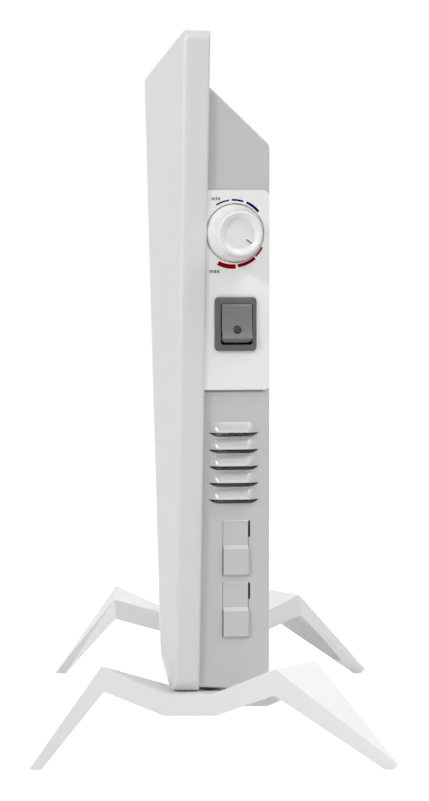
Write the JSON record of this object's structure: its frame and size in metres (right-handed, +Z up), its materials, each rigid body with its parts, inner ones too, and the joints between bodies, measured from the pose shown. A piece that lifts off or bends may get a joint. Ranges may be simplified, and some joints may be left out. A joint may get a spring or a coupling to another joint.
{
  "type": "wall panel convector heater",
  "caption": "Slim white steel panel convector heater on channel feet, with end louvres, a thermostat knob and a rocker switch on the right end.",
  "frame": {"origin": "on the floor, under the middle of the whole heater", "axes": "+Z up, the front panel faces -Y, the controls are on the +X end"},
  "size_m": [0.4848, 0.224, 0.448],
  "materials": {
    "white_enamel": "satin white stoving enamel",
    "grey_enamel": "satin light grey stoving enamel",
    "plate_plastic": "smooth white moulding",
    "knob_plastic": "smooth white moulding",
    "bezel_plastic": "fine-grained dark grey moulding",
    "rocker_plastic": "fine-grained mid grey moulding",
    "lens_plastic": "dark green translucent, drawn opaque",
    "zinc_steel": "zinc plated",
    "brass": "bright",
    "aluminium": "as extruded",
    "ceramic": "unglazed ceramic",
    "phenolic": "moulded brown",
    "black_nylon": "moulded black",
    "sleeve_brown": "insulating sleeve",
    "sleeve_red": "insulating sleeve",
    "sleeve_blue": "insulating sleeve",
    "sleeve_green": "insulating sleeve"
  },
  "bodies": {
    "heater": {"front_panel": "white_enamel", "foot_right": "white_enamel", "foot_left": "white_enamel", "back_panel": "grey_enamel", "side_panel_right": "grey_enamel", "side_panel_left": "grey_enamel", "control_plate": "plate_plastic", "switch_housing": "bezel_plastic", "spindle_nut": "zinc_steel", "element_rod": "zinc_steel", "element_bracket_right": "zinc_steel", "element_bracket_left": "zinc_steel", "heat_shield": "zinc_steel", "cutout_clip": "zinc_steel", "foot_plate_right": "zinc_steel", "foot_plate_left": "zinc_steel", "foot_screw_right_rear": "zinc_steel", "foot_screw_right_front": "zinc_steel", "foot_screw_left_rear": "zinc_steel", "foot_screw_left_front": "zinc_steel", "casing_screw_right_lower": "zinc_steel", "casing_screw_right_upper": "zinc_steel", "casing_screw_left_lower": "zinc_steel", "casing_screw_left_upper": "zinc_steel", "switch_terminal_1": "brass", "switch_terminal_2": "brass", "switch_terminal_3": "brass", "spindle_bush": "brass", "bimetal_blade": "brass", "contact_arm": "brass", "terminal_clamp_1": "brass", "terminal_clamp_2": "brass", "terminal_clamp_3": "brass", "earth_stud": "brass", "earth_nut": "brass", "element_profile": "aluminium", "element_bush_right": "ceramic", "element_bush_left": "ceramic", "thermostat_base": "phenolic", "thermal_cutout": "phenolic", "terminal_block": "black_nylon", "cord_gland": "black_nylon", "wire_live": "sleeve_brown", "wire_switched": "sleeve_red", "wire_cutout": "sleeve_red", "wire_element": "sleeve_red", "wire_neutral": "sleeve_blue", "wire_earth": "sleeve_green"},
    "knob": {"thermostat_knob": "knob_plastic", "thermostat_spindle": "zinc_steel", "thermostat_cam": "black_nylon"},
    "rocker": {"switch_rocker": "rocker_plastic", "indicator_lens": "lens_plastic", "rocker_plunger": "brass", "plunger_spring": "zinc_steel"},
    "contact": {"contact_bar": "brass"}
  },
  "joints": [
    {"name": "knob_turn", "type": "hinge", "parent": "heater", "child": "knob", "pos_m": [0.21817, 0.01215, 0.3248], "axis": [0.9877, 0.1564, 0], "range_deg": [-90, 165]},
    {"name": "switch_rock", "type": "hinge", "parent": "heater", "child": "rocker", "pos_m": [0.21516, 0.01198, 0.2693], "axis": [-0.1564, 0.9877, 0], "range_deg": [0, 14]},
    {"name": "contact_rock", "type": "hinge", "parent": "heater", "child": "contact", "pos_m": [0.20508, 0.01038, 0.2693], "axis": [-0.1564, 0.9877, 0], "range_deg": [-12.1, 0.1]}
  ],
  "couplings": [
    {"joint": "contact_rock", "follows": "switch_rock", "ratio": -0.85714}
  ]
}
